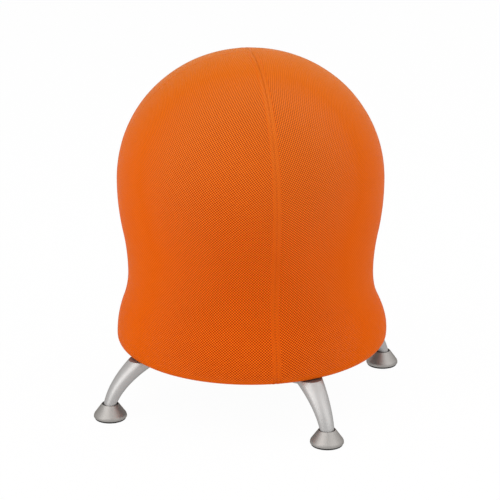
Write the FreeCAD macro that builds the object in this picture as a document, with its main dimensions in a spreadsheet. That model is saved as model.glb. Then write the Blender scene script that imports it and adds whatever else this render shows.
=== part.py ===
import FreeCAD, Part
import math
import os

import Sketcher

# Balance ball chair: an air-filled ball in a stretched mesh cover, seated in a moulded
# base dish that stands on four curved cast legs with swivelling feet.
# Lengths are in millimetres.  Z points up, the origin is on the floor under the centre,
# and the legs stand on the diagonals.

DIMENSIONS = [
    # Outline of the cover, from the crown down to the hem
    ("overall_height", 584.0),
    ("dome_radius", 218.3),
    ("dome_height", 372.0),
    ("dome_fullness", 0.729),
    ("neck_inset", 15.9),
    ("neck_height", 217.5),
    ("waist_share", 0.55),
    ("flare_spread", 19.6),
    ("flare_height", 109.6),
    ("flare_share", 0.54),
    ("hem_roll", 17.0),
    ("hem_reach", 164.4),
    ("channel_radius", 3.6),
    ("channel_bore", 1.9),
    ("cover_wall", 3.0),
    ("seam_angle", 28.0),
    # Ball, valve and plug
    ("ball_wall", 1.8),
    ("valve_bore", 4.2),
    ("valve_neck", 10.0),
    ("valve_flange", 15.0),
    ("valve_length", 14.0),
    ("plug_head", 8.0),
    ("plug_head_thick", 2.0),
    ("plug_length", 15.0),
    ("plug_round", 1.0),
    # Moulded base dish and its bottom plate
    ("dish_wall", 3.6),
    ("bowl_wall", 5.4),
    ("dish_well", 45.0),
    ("bowl_edge", 150.0),
    ("rim_width", 9.0),
    ("rim_round", 6.75),
    ("rim_drop", 1.0),
    ("skirt_height", 150.0),
    ("lip_width", 7.0),
    ("rib_thick", 4.0),
    ("rib_count", 8),
    ("rib_lift", 8.2),
    ("ring_rib", 122.0),
    ("boss_radius", 11.0),
    ("plate_thick", 3.5),
    ("plate_radius", 157.0),
    ("plate_bead", 62.0),
    ("bead_half_width", 2.0),
    ("bead_depth", 1.5),
    # Legs
    ("leg_count", 4),
    ("bolt_inner", 105.0),
    ("bolt_outer", 140.0),
    ("flange_thick", 8.0),
    ("flange_half_width", 22.0),
    ("flange_root_half_width", 26.0),
    ("flange_outer", 178.0),
    ("flange_tail", 20.8),
    ("flange_tail_half_width", 15.6),
    ("ankle_offset", 1.5),
    ("ankle_height", 21.5),
    ("ankle_depth", 9.3),
    ("ankle_width", 11.8),
    ("knee_reach", 232.5),
    ("knee_height", 65.0),
    ("knee_depth", 12.8),
    ("knee_width", 16.5),
    ("root_reach", 178.0),
    ("root_overrun", 10.7),
    ("root_depth", 17.0),
    ("root_width", 25.0),
    # Fasteners
    ("bolt_shank", 4.0),
    ("bolt_length", 34.0),
    ("bolt_head", 7.0),
    ("bolt_head_height", 4.4),
    ("bolt_key", 2.5),
    ("bolt_key_depth", 2.6),
    ("washer_radius", 8.0),
    ("washer_thick", 1.6),
    ("insert_radius", 6.0),
    ("insert_length", 18.0),
    # Feet
    ("foot_reach", 258.7),
    ("foot_height", 25.5),
    ("foot_rim", 1.2),
    ("foot_radius", 27.0),
    ("foot_edge", 4.6),
    ("foot_round", 1.8),
    ("foot_shoulder_height", 9.6),
    ("recess_room", 1.1),
    ("recess_floor", 17.0),
    ("pad_inset", 1.6),
    ("pad_thick", 3.0),
    ("pad_round", 1.0),
    ("joint_height", 10.5),
    ("joint_ball", 6.0),
    ("stud_neck", 3.4),
    ("stud_collar", 7.0),
    ("stud_collar_thick", 3.0),
    ("stud_thread", 4.0),
    ("stud_length", 11.5),
    ("thread_room", 1.0),
    ("cup_wall", 3.2),
    ("cup_flange", 12.0),
    ("cup_flange_thick", 3.0),
    ("cup_mouth", 4.0),
    ("cup_lead", 1.5),
    ("edge_break", 0.4),
    # Clearances
    ("soft_gap", 0.3),
    ("running_gap", 0.05),
]

doc = FreeCAD.newDocument("balance_ball_chair")
sheet = doc.addObject("Spreadsheet::Sheet", "Dims")
for row, (alias, number) in enumerate(DIMENSIONS, start=1):
    sheet.set("A%d" % row, alias)
    sheet.set("B%d" % row, str(number))
    sheet.setAlias("B%d" % row, alias)
doc.recompute()

LEG_SIDES = ["back_right", "back_left", "front_left", "front_right"]
PANEL_SIDES = ["back", "left", "front", "right"]


# Formulas over the sheet, in the form that both the sketches and this source read

def dims(formula):
    """Turn bare size names into references to the sheet."""
    names = sorted((alias for alias, number in DIMENSIONS), key=len, reverse=True)
    words = []
    word = ""
    for letter in formula + " ":
        if letter.isalnum() or letter == "_":
            word += letter
            continue
        words.append("Dims." + word if word in names else word)
        words.append(letter)
        word = ""
    return "".join(words).strip()


def size(formula):
    """The value of a formula, as a plain number."""
    return float(sheet.evalExpression(dims(formula)))


NECK_RADIUS = "(dome_radius - neck_inset)"
FLARE_RADIUS = "(dome_radius - neck_inset + flare_spread)"
BALL_INSET = "(cover_wall + soft_gap)"
BALL_RADIUS = "(dome_radius - cover_wall - soft_gap)"
BOWL_RADIUS = "(dome_radius - cover_wall)"
COVER_BOTTOM = "(flare_height - hem_roll)"
LEG_TOP = "(" + COVER_BOTTOM + " - soft_gap)"
PLATE_TOP = "(" + LEG_TOP + " + plate_thick)"
FLANGE_BOTTOM = "(" + LEG_TOP + " - flange_thick)"
RIB_BOTTOM = "(" + PLATE_TOP + " + rib_lift)"
FLARE_DROP = "(neck_height - flare_height)"
FLARE_ARC = "(flare_share*(flare_spread^2 + " + FLARE_DROP + "^2)/(2*flare_spread))"
RECESS_RADIUS = "(ankle_width + recess_room)"
HORN_REACH = ["foot_reach + ankle_offset", "knee_reach", "root_reach"]
HORN_HEIGHT = ["ankle_height", "knee_height", LEG_TOP + " + root_overrun"]
HORN_DEPTH = ["ankle_depth", "knee_depth", "root_depth"]
HORN_WIDTH = ["ankle_width", "knee_width", "root_width"]


def bowl_height(reach, depth="0"):
    """Height of the bowl's surface at a reach from the axis, or of a surface below it."""
    return "(dome_height - sqrt((%s + %s)^2 - (%s)^2))" % (BOWL_RADIUS, depth, reach)


def ball_height(reach, depth="0"):
    """Height of the ball's lower surface at a reach from the axis, or of one inside it."""
    return "(dome_height - sqrt((%s - %s)^2 - (%s)^2))" % (BALL_RADIUS, depth, reach)


def flare_reach(height, inset):
    """Reach of the flare's lower arc at a height, set in from the cover's surface."""
    return ("(%s - %s + sqrt((%s - %s)^2 - (%s - flare_height)^2))"
            % (FLARE_RADIUS, FLARE_ARC, FLARE_ARC, inset, height))


# Sketches and features

def new_body(label, turn=0.0, reach=None):
    """A body with its own label, turned about Z, and carried out along the turned X axis."""
    body = doc.addObject("PartDesign::Body", label)
    body.Label = label
    base = FreeCAD.Vector(0, 0, 0)
    rotation = FreeCAD.Rotation(FreeCAD.Vector(0, 0, 1), turn)
    body.Placement = FreeCAD.Placement(base, rotation)
    if reach:
        body.setExpression("Placement.Base.x", dims("%s*cos(%s)" % (reach, turn)))
        body.setExpression("Placement.Base.y", dims("%s*sin(%s)" % (reach, turn)))
    return body


def new_sketch(body, name, plane, lift=None):
    """A sketch on one of the body's own planes, lifted off it by a formula."""
    sketch = body.newObject("Sketcher::SketchObject", name)
    support = [item for item in body.Origin.OriginFeatures if item.Role == plane][0]
    sketch.AttachmentSupport = [(support, "")]
    sketch.MapMode = "FlatFace"
    if lift:
        sketch.AttachmentOffset = FreeCAD.Placement(FreeCAD.Vector(0, 0, size(lift)),
                                                    FreeCAD.Rotation())
        sketch.setExpression("AttachmentOffset.Base.z", dims(lift))
    return sketch


def pin_point(sketch, geometry, end, x, y):
    """Hold a point of the sketch at two formulas."""
    for kind, formula, axis in (("DistanceX", x, -2), ("DistanceY", y, -1)):
        if abs(size(formula)) < 1e-9:
            sketch.addConstraint(Sketcher.Constraint("PointOnObject", geometry, end, axis))
            continue
        index = sketch.addConstraint(
            Sketcher.Constraint(kind, -1, 1, geometry, end, size(formula)))
        sketch.setExpression("Constraints[%d]" % index, dims(formula))


def arc_between(start, finish, radius):
    """An arc through two points; its centre is on the left if the radius is positive."""
    chord = finish - start
    half = chord.Length / 2
    left = FreeCAD.Vector(-chord.y, chord.x, 0).normalize()
    rise = math.sqrt(radius ** 2 - half ** 2)
    side = 1 if radius > 0 else -1
    centre = (start + finish) * 0.5 + left * (rise * side)
    first, last = (start, finish) if radius > 0 else (finish, start)
    first_angle = math.atan2(first.y - centre.y, first.x - centre.x)
    last_angle = math.atan2(last.y - centre.y, last.x - centre.x)
    if last_angle < first_angle:
        last_angle += 2 * math.pi
    circle = Part.Circle(centre, FreeCAD.Vector(0, 0, 1), abs(radius))
    return Part.ArcOfCircle(circle, first_angle, last_angle)


def add_outline(sketch, corners):
    """A closed outline.  A corner is (x, y), with a third formula where an arc leaves it."""
    points = [FreeCAD.Vector(size(corner[0]), size(corner[1]), 0) for corner in corners]
    ends = []
    for index, corner in enumerate(corners):
        start = points[index]
        finish = points[(index + 1) % len(points)]
        if len(corner) == 2:
            edge = sketch.addGeometry(Part.LineSegment(start, finish))
            ends.append((edge, 1, 2))
            continue
        radius = size(corner[2])
        edge = sketch.addGeometry(arc_between(start, finish, radius))
        ends.append((edge, 1, 2) if radius > 0 else (edge, 2, 1))
    for index in range(len(corners)):
        edge, start_end, finish_end = ends[index]
        following = ends[(index + 1) % len(ends)]
        sketch.addConstraint(Sketcher.Constraint("Coincident", edge, finish_end,
                                                 following[0], following[1]))
    for index, corner in enumerate(corners):
        edge, start_end, finish_end = ends[index]
        pin_point(sketch, edge, start_end, corner[0], corner[1])
        if len(corner) == 3:
            constraint = sketch.addConstraint(
                Sketcher.Constraint("Radius", edge, abs(size(corner[2]))))
            sketch.setExpression("Constraints[%d]" % constraint, dims("abs(%s)" % corner[2]))


def add_circle(sketch, x, y, radius):
    """A circle held at its centre and radius."""
    centre = FreeCAD.Vector(size(x), size(y), 0)
    circle = sketch.addGeometry(Part.Circle(centre, FreeCAD.Vector(0, 0, 1), size(radius)))
    pin_point(sketch, circle, 3, x, y)
    index = sketch.addConstraint(Sketcher.Constraint("Radius", circle, size(radius)))
    sketch.setExpression("Constraints[%d]" % index, dims(radius))


def add_hexagon(sketch, radius):
    """A hexagon about the origin, its corners at the radius."""
    corners = []
    for index in range(6):
        turn = 60 * index + 30
        corners.append(("%s*cos(%d)" % (radius, turn), "%s*sin(%d)" % (radius, turn)))
    add_outline(sketch, corners)


def turned(body, name, corners):
    """Add a solid turned about the body's Z axis from a section of reaches and heights."""
    sketch = new_sketch(body, name + "_section", "XZ_Plane")
    add_outline(sketch, corners)
    feature = body.newObject("PartDesign::Revolution", name)
    feature.Profile = sketch
    feature.ReferenceAxis = (sketch, ["V_Axis"])
    feature.Angle = 360
    body.Tip = feature
    return feature


def turned_cut(body, name, corners):
    """Cut a turned space out of the body."""
    sketch = new_sketch(body, name + "_section", "XZ_Plane")
    add_outline(sketch, corners)
    feature = body.newObject("PartDesign::Groove", name)
    feature.Profile = sketch
    feature.ReferenceAxis = (sketch, ["V_Axis"])
    feature.Angle = 360
    body.Tip = feature
    return feature


def padded(body, name, sketch, length, midplane=False):
    """Add a straight block from a sketch."""
    feature = body.newObject("PartDesign::Pad", name)
    feature.Profile = sketch
    feature.Midplane = midplane
    feature.Length = size(length)
    feature.setExpression("Length", dims(length))
    body.Tip = feature
    return feature


def pocketed(body, name, sketch, length):
    """Cut a straight pocket upwards from a sketch, and prove that it cuts."""
    doc.recompute()
    before = body.Shape.Volume
    feature = body.newObject("PartDesign::Pocket", name)
    feature.Profile = sketch
    feature.Reversed = True
    feature.Length = size(length)
    feature.setExpression("Length", dims(length))
    body.Tip = feature
    doc.recompute()
    if body.Shape.Volume >= before:
        raise RuntimeError("%s of %s cuts nothing" % (name, body.Label))
    return feature


def patterned(body, name, feature, count):
    """Repeat a feature about the body's Z axis."""
    pattern = body.newObject("PartDesign::PolarPattern", name)
    pattern.Originals = [feature]
    axis = [item for item in body.Origin.OriginFeatures if item.Role == "Z_Axis"][0]
    pattern.Axis = (axis, [""])
    pattern.Angle = 360
    pattern.Occurrences = int(size(count))
    pattern.setExpression("Occurrences", dims(count))
    body.Tip = pattern
    return pattern


# Outlines in the plane of reach and height, for the soft and the curved cast pieces

def at(reach, height):
    return FreeCAD.Vector(reach, 0, height)


def arc_about(centre, start, finish):
    """An arc of less than half a turn about a centre."""
    middle = (start - centre) + (finish - centre)
    middle = centre + middle.normalize() * (start - centre).Length
    return Part.Arc(start, middle, finish).toShape()


def dome_curve(inset):
    """The dome, from the crown out to its widest point: a conic, level at the top and upright
    at the side, and as full between them as its middle weight makes it."""
    top = size("overall_height") - inset
    side = size("dome_radius") - inset
    middle = size("dome_height")
    conic = Part.BSplineCurve()
    conic.buildFromPolesMultsKnots([at(0, top), at(side, top), at(side, middle)],
                                   [3, 3], [0, 1], False, 2,
                                   [1, size("dome_fullness"), 1])
    return conic.toShape()


def s_curve(top, bottom, share, inset):
    """Two arcs that join two upright tangents; share is the outer arc's part of the radii."""
    step = abs(top.x - bottom.x)
    drop = top.z - bottom.z
    radii = (step ** 2 + drop ** 2) / (2 * step)
    outer_point, inner_point = (top, bottom) if top.x > bottom.x else (bottom, top)
    outer_centre = outer_point - at(radii * share, 0)
    inner_centre = inner_point + at(radii * (1 - share), 0)
    toward = (inner_centre - outer_centre).normalize()
    turn_point = outer_centre + toward * (radii * share - inset)
    first = top - at(inset, 0)
    last = bottom - at(inset, 0)
    centres = [outer_centre, inner_centre]
    if top.x < bottom.x:
        centres.reverse()
    return [arc_about(centres[0], first, turn_point), arc_about(centres[1], turn_point, last)]


def cover_outline(inset):
    """The cover's outline, from the crown to the underside, set in from its face."""
    dome = at(size("dome_radius"), size("dome_height"))
    neck = at(size(NECK_RADIUS), size("neck_height"))
    flare = at(size(FLARE_RADIUS), size("flare_height"))
    roll_centre = flare - at(size("hem_roll"), 0)
    arcs = [dome_curve(inset)]
    arcs += s_curve(dome, neck, size("waist_share"), inset)
    arcs += s_curve(neck, flare, size("flare_share"), inset)
    arcs.append(arc_about(roll_centre, flare - at(inset, 0),
                          roll_centre - at(0, size("hem_roll") - inset)))
    return arcs


def feature_from(shape, label, turn=0.0):
    """Keep a shape under its label, turned about Z."""
    feature = doc.addObject("Part::Feature", label)
    feature.Label = label
    feature.Shape = shape
    feature.Placement = FreeCAD.Placement(FreeCAD.Vector(0, 0, 0),
                                          FreeCAD.Rotation(FreeCAD.Vector(0, 0, 1), turn))
    return feature


def panel_section():
    """Section of the cover: its wall, the hem and the channel for the elastic."""
    wall = size("cover_wall")
    bottom = size(COVER_BOTTOM)
    bead = size("channel_radius")
    reach = size("hem_reach")
    bead_centre = at(reach, bottom + bead)
    bead_under = at(reach, bottom)
    bead_over = at(reach, bottom + 2 * bead)
    bead_join = at(reach + math.sqrt(bead ** 2 - (wall - bead) ** 2), bottom + wall)
    outer = cover_outline(0)
    inner = cover_outline(wall)
    hem_outer = outer[-1].Vertexes[-1].Point
    hem_inner = inner[-1].Vertexes[-1].Point
    edges = outer
    edges.append(Part.LineSegment(hem_outer, bead_under).toShape())
    edges.append(arc_about(bead_centre, bead_under, bead_centre - at(bead, 0)))
    edges.append(arc_about(bead_centre, bead_centre - at(bead, 0), bead_over))
    edges.append(arc_about(bead_centre, bead_over, bead_join))
    edges.append(Part.LineSegment(bead_join, hem_inner).toShape())
    edges += inner
    edges.append(Part.LineSegment(at(0, size("overall_height")),
                                  at(0, size("overall_height") - wall)).toShape())
    wall_wire = Part.Wire(Part.__sortEdges__(edges))
    channel = Part.Circle(bead_centre, FreeCAD.Vector(0, 1, 0), size("channel_bore"))
    section = Part.Face(wall_wire)
    return section.cut(Part.Face(Part.Wire(channel.toShape()))).Faces[0]


def make_cover():
    """Four equal gores, sewn to each other from the crown to the hem."""
    axis = FreeCAD.Vector(0, 0, 1)
    quarter = 360.0 / len(PANEL_SIDES)
    gore = panel_section().revolve(FreeCAD.Vector(0, 0, 0), axis, quarter)
    panels = []
    for index, side in enumerate(PANEL_SIDES):
        turn = size("seam_angle") + quarter * index
        panels.append(feature_from(gore, "cover_panel_" + side, turn))
    return panels


def make_hem_elastic():
    """The cord in the hem's channel, which draws the cover in under the dish."""
    ring = doc.addObject("Part::Torus", "hem_elastic")
    ring.Label = "hem_elastic"
    ring.setExpression("Radius1", dims("hem_reach"))
    ring.setExpression("Radius2", dims("channel_bore - soft_gap"))
    ring.setExpression("Placement.Base.z", dims(COVER_BOTTOM + " + channel_radius"))
    return ring


def make_ball():
    """The inflated ball: a thin shell, round below and stretched to the dome above, and
    open only at its valve."""
    inset = size(BALL_INSET)
    wall = size("ball_wall")
    neck = size("valve_neck + soft_gap")
    centre = at(0, size("dome_height"))
    edges = []
    valve_rim = []
    for depth in (inset, inset + wall):
        dome = dome_curve(depth)
        radius = size("dome_radius") - depth
        widest = centre + at(radius, 0)
        opening = centre + at(neck, -math.sqrt(radius ** 2 - neck ** 2))
        edges += [dome, arc_about(centre, widest, opening)]
        valve_rim.append(opening)
    edges.append(Part.LineSegment(valve_rim[0], valve_rim[1]).toShape())
    top = size("overall_height") - inset
    edges.append(Part.LineSegment(at(0, top), at(0, top - wall)).toShape())
    wire = Part.Wire(Part.__sortEdges__(edges))
    shell = Part.Face(wire).revolve(FreeCAD.Vector(0, 0, 0), FreeCAD.Vector(0, 0, 1), 360)
    return feature_from(shell, "ball")


def make_valve():
    """Valve moulded into the ball's lowest point, and the plug that closes it."""
    seat = new_body("valve_seat")
    under = ball_height("valve_neck")
    inside = ball_height("valve_flange", "ball_wall") + " + soft_gap"
    turned(seat, "valve_turned", [
        ("valve_bore", under),
        ("valve_neck", under),
        ("valve_neck", inside),
        ("valve_flange", inside),
        ("valve_flange", inside + " + ball_wall"),
        ("valve_neck", inside + " + 2*ball_wall"),
        ("valve_neck - 2*ball_wall", under + " + valve_length"),
        ("valve_bore", under + " + valve_length"),
    ])
    plug = new_body("air_plug")
    head_top = under + " - running_gap"
    shank = "(valve_bore - running_gap)"
    turned(plug, "plug_turned", [
        ("0", head_top + " - plug_head_thick"),
        ("plug_head - plug_round", head_top + " - plug_head_thick"),
        ("plug_head", head_top + " - plug_head_thick + plug_round"),
        ("plug_head", head_top),
        (shank, head_top),
        (shank, head_top + " + plug_length - 2*plug_round"),
        (shank + " - plug_round", head_top + " + plug_length"),
        ("0", head_top + " + plug_length"),
    ])
    return [seat, plug]


def make_base_dish():
    """Moulded dish: a bowl for the ball, a skirt that shapes the flare, a well to the valve,
    radial ribs with a ring between them, and four pairs of bosses for the legs."""
    dish = new_body("base_dish")
    outer = "(cover_wall + soft_gap)"
    inner = "(cover_wall + soft_gap + dish_wall)"
    well_out = "(dish_well + dish_wall)"
    rim_out = "(bowl_edge + rim_width)"
    roll = "(%s - hem_roll)" % FLARE_RADIUS
    rim_top = bowl_height("bowl_edge")
    turned(dish, "shell", [
        ("dish_well", PLATE_TOP),
        ("dish_well", bowl_height("dish_well"), BOWL_RADIUS),
        ("bowl_edge", rim_top, "-rim_round"),
        (rim_out, rim_top + " - rim_drop"),
        (flare_reach("skirt_height", outer), "skirt_height", "-(%s - %s)" % (FLARE_ARC, outer)),
        (FLARE_RADIUS + " - " + outer, "flare_height", "-(hem_roll - %s)" % outer),
        (roll, COVER_BOTTOM + " + " + outer),
        (roll + " - lip_width", COVER_BOTTOM + " + " + outer),
        (roll + " - lip_width", COVER_BOTTOM + " + " + inner),
        (roll, COVER_BOTTOM + " + " + inner, "hem_roll - " + inner),
        (FLARE_RADIUS + " - " + inner, "flare_height", FLARE_ARC + " - " + inner),
        (flare_reach("skirt_height", inner), "skirt_height"),
        ("bowl_edge", bowl_height("bowl_edge", "bowl_wall"), "-(%s + bowl_wall)" % BOWL_RADIUS),
        (well_out, bowl_height(well_out, "bowl_wall")),
        (well_out, PLATE_TOP),
    ])

    # One rib stands in the middle of the walls that it joins
    half = "dish_wall*0.5"
    rib = new_sketch(dish, "rib_outline", "XZ_Plane")
    add_outline(rib, [
        ("dish_well + " + half, RIB_BOTTOM),
        ("dish_well + " + half, bowl_height("(dish_well + dish_wall*0.5)", half),
         BOWL_RADIUS + " + " + half),
        ("bowl_edge", bowl_height("bowl_edge", half)),
        (flare_reach("skirt_height", "(%s + %s)" % (outer, half)), "skirt_height",
         "-(%s - %s - %s)" % (FLARE_ARC, outer, half)),
        ("%s - %s - %s" % (FLARE_RADIUS, outer, half), "flare_height"),
        (roll, RIB_BOTTOM),
    ])
    rib_pad = padded(dish, "rib", rib, "rib_thick", midplane=True)
    patterned(dish, "ribs", rib_pad, "rib_count")

    ring_out = "(ring_rib + dish_wall)"
    turned(dish, "ring_rib", [
        ("ring_rib", RIB_BOTTOM),
        ("ring_rib", bowl_height("ring_rib", half)),
        (ring_out, bowl_height(ring_out, half)),
        (ring_out, RIB_BOTTOM),
    ])

    # Bosses for the leg bolts reach through to the bowl, which then clears the ball again
    bosses = new_sketch(dish, "boss_circles", "XY_Plane", PLATE_TOP)
    for reach in ("bolt_inner", "bolt_outer"):
        add_circle(bosses, reach + "*cos(45)", reach + "*sin(45)", "boss_radius")
    boss_pad = padded(dish, "bosses", bosses, "%s - rim_drop - %s" % (rim_top, PLATE_TOP))
    patterned(dish, "all_bosses", boss_pad, "leg_count")
    turned_cut(dish, "ball_room", [
        ("dish_well", bowl_height("dish_well"), BOWL_RADIUS),
        ("bowl_edge", rim_top),
        ("bowl_edge", rim_top + " + rim_width"),
        ("dish_well", rim_top + " + rim_width"),
    ])

    # Bores for the threaded inserts, with room above them for the bolts
    for name, radius, depth in (
            ("insert_bores", "insert_radius + running_gap", "insert_length + running_gap"),
            ("bolt_room", "bolt_shank + 2*soft_gap", "bolt_length")):
        bores = new_sketch(dish, name + "_circles", "XY_Plane", PLATE_TOP)
        for reach in ("bolt_inner", "bolt_outer"):
            add_circle(bores, reach + "*cos(45)", reach + "*sin(45)", radius)
        pocket = pocketed(dish, name, bores, depth)
        patterned(dish, "all_" + name, pocket, "leg_count")
    return dish


def make_bottom_plate():
    """Round plate that closes the dish from below, open in the middle for the pump."""
    plate = new_body("bottom_plate")
    turned(plate, "disc", [
        ("dish_well", LEG_TOP),
        ("plate_bead - bead_half_width", LEG_TOP),
        ("plate_bead", LEG_TOP + " - bead_depth"),
        ("plate_bead + bead_half_width", LEG_TOP),
        ("plate_radius", LEG_TOP),
        ("plate_radius", PLATE_TOP),
        ("dish_well", PLATE_TOP),
    ])
    holes = new_sketch(plate, "bolt_circles", "XY_Plane", LEG_TOP)
    for reach in ("bolt_inner", "bolt_outer"):
        add_circle(holes, reach + "*cos(45)", reach + "*sin(45)", "bolt_shank + soft_gap")
    pocket = pocketed(plate, "bolt_holes", holes, "plate_thick")
    patterned(plate, "all_bolt_holes", pocket, "leg_count")
    return plate


def along(formulas, share):
    """A size on the smooth curve through its values at the ankle, the knee and the root."""
    ankle, knee, root = [size(formula) for formula in formulas]
    return (ankle * (1 - share) * (1 - 2 * share) + knee * 4 * share * (1 - share)
            + root * share * (2 * share - 1))


def horn_point(share):
    return at(along(HORN_REACH, share), along(HORN_HEIGHT, share))


def leg_horn():
    """The curved cast horn: oval sections square to a line that bends in under the dish.
    It runs on past the ankle and the flange, and is cut level at both."""
    sections = []
    steps = 7
    first_share = -0.18
    last_share = 1.06
    across = FreeCAD.Vector(0, 1, 0)
    for step in range(steps + 1):
        share = first_share + (last_share - first_share) * step / steps
        centre = horn_point(share)
        forward = (horn_point(share + 0.01) - centre).normalize()
        oval = Part.Ellipse()
        oval.MajorRadius = along(HORN_WIDTH, share)
        oval.MinorRadius = along(HORN_DEPTH, share)
        wire = Part.Wire(oval.toShape())
        square = FreeCAD.Rotation(across, forward.cross(across), forward, "ZXY")
        wire.Placement = FreeCAD.Placement(centre, square)
        sections.append(wire)
    horn = Part.makeLoft(sections, True, False)
    bottom = size("ankle_height")
    reach = 2 * size("foot_reach")
    half_width = 2 * size("root_width")
    block = Part.makeBox(reach, 2 * half_width, size(LEG_TOP) - bottom,
                         FreeCAD.Vector(0, -half_width, bottom))
    return horn.common(block)


def make_legs():
    """Four cast legs: a horn that runs into a flat flange, drilled for bolts and stud."""
    horn = leg_horn()
    legs = []
    for index, side in enumerate(LEG_SIDES):
        turn = 45.0 + 90.0 * index
        horn_feature = feature_from(horn, "horn_" + side)
        flange = new_body("flange_" + side)
        outline = new_sketch(flange, "flange_outline", "XY_Plane", FLANGE_BOTTOM)
        add_outline(outline, [
            ("bolt_inner", "-flange_half_width"),
            ("flange_outer", "-flange_root_half_width", "flange_root_half_width"),
            ("flange_outer + flange_tail", "-flange_tail_half_width"),
            ("flange_outer + flange_tail", "flange_tail_half_width", "flange_root_half_width"),
            ("flange_outer", "flange_root_half_width"),
            ("bolt_inner", "flange_half_width", "flange_half_width"),
            ("bolt_inner - flange_half_width", "0", "flange_half_width"),
        ])
        padded(flange, "flange_plate", outline, "flange_thick")
        whole = doc.addObject("Part::Fuse", "casting_" + side)
        whole.Base = horn_feature
        whole.Tool = flange
        drills = []
        for name, reach, radius, low, depth in (
                ("inner", "bolt_inner", "bolt_shank + soft_gap", FLANGE_BOTTOM, "flange_thick"),
                ("outer", "bolt_outer", "bolt_shank + soft_gap", FLANGE_BOTTOM, "flange_thick"),
                ("stud", "foot_reach", "stud_thread + running_gap", "ankle_height",
                 "stud_length + thread_room")):
            drill = doc.addObject("Part::Cylinder", "drill_%s_%s" % (name, side))
            drill.setExpression("Radius", dims(radius))
            drill.setExpression("Height", dims(depth))
            drill.setExpression("Placement.Base.x", dims(reach))
            drill.setExpression("Placement.Base.z", dims(low))
            drills.append(drill)
        drilled = doc.addObject("Part::MultiFuse", "drills_" + side)
        drilled.Shapes = drills
        leg = doc.addObject("Part::Cut", "leg_" + side)
        leg.Label = "leg_" + side
        leg.Base = whole
        leg.Tool = drilled
        leg.Placement = FreeCAD.Placement(FreeCAD.Vector(0, 0, 0),
                                          FreeCAD.Rotation(FreeCAD.Vector(0, 0, 1), turn))
        legs.append(leg)
    return legs


def at_bolt(item, reach, turn, low):
    """Stand a piece at one bolt's place."""
    item.setExpression("Placement.Base.x", dims("%s*cos(%s)" % (reach, turn)))
    item.setExpression("Placement.Base.y", dims("%s*sin(%s)" % (reach, turn)))
    item.setExpression("Placement.Base.z", dims(low))


def bolt_places():
    """Name, reach and turn of each of the eight leg bolts."""
    for index in range(len(LEG_SIDES)):
        for reach in ("bolt_inner", "bolt_outer"):
            yield "%s_%d" % (reach, index), reach, 45 + 90 * index


def cylinder(name, radius, height):
    """A cylinder held by two formulas."""
    item = doc.addObject("Part::Cylinder", name)
    item.setExpression("Radius", dims(radius))
    item.setExpression("Height", dims(height))
    return item


def cut(name, base, tool):
    """One piece less another."""
    item = doc.addObject("Part::Cut", name)
    item.Base = base
    item.Tool = tool
    return item


def grouped(label, items):
    """Identical fasteners under one label, each its own solid."""
    group = doc.addObject("Part::Compound", label)
    group.Label = label
    group.Links = items
    return group


def make_leg_fasteners():
    """Socket-head bolts with washers, and the threaded inserts that they run into."""
    bolts = []
    washers = []
    inserts = []
    washer_low = FLANGE_BOTTOM + " - washer_thick"
    head_low = washer_low + " - bolt_head_height"
    for name, reach, turn in bolt_places():
        shank = cylinder("shank_" + name, "bolt_shank", "bolt_length")
        at_bolt(shank, reach, turn, washer_low)
        head = cylinder("head_" + name, "bolt_head", "bolt_head_height")
        at_bolt(head, reach, turn, head_low)
        key = doc.addObject("Part::Prism", "key_" + name)
        key.Polygon = 6
        key.setExpression("Circumradius", dims("bolt_key/cos(30)"))
        key.setExpression("Height", dims("bolt_key_depth"))
        at_bolt(key, reach, turn, head_low)
        bolt = doc.addObject("Part::Fuse", "bolt_" + name)
        bolt.Base = cut("socket_" + name, head, key)
        bolt.Tool = shank
        bolts.append(bolt)

        disc = cylinder("disc_" + name, "washer_radius", "washer_thick")
        at_bolt(disc, reach, turn, washer_low)
        hole = cylinder("disc_hole_" + name, "bolt_shank + soft_gap", "washer_thick")
        at_bolt(hole, reach, turn, washer_low)
        washers.append(cut("washer_" + name, disc, hole))

        sleeve = cylinder("sleeve_" + name, "insert_radius", "insert_length")
        at_bolt(sleeve, reach, turn, PLATE_TOP)
        bore = cylinder("sleeve_bore_" + name, "bolt_shank + running_gap", "insert_length")
        at_bolt(bore, reach, turn, PLATE_TOP)
        inserts.append(cut("insert_" + name, sleeve, bore))
    return [grouped("leg_bolts", bolts), grouped("leg_washers", washers),
            grouped("leg_inserts", inserts)]


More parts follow.
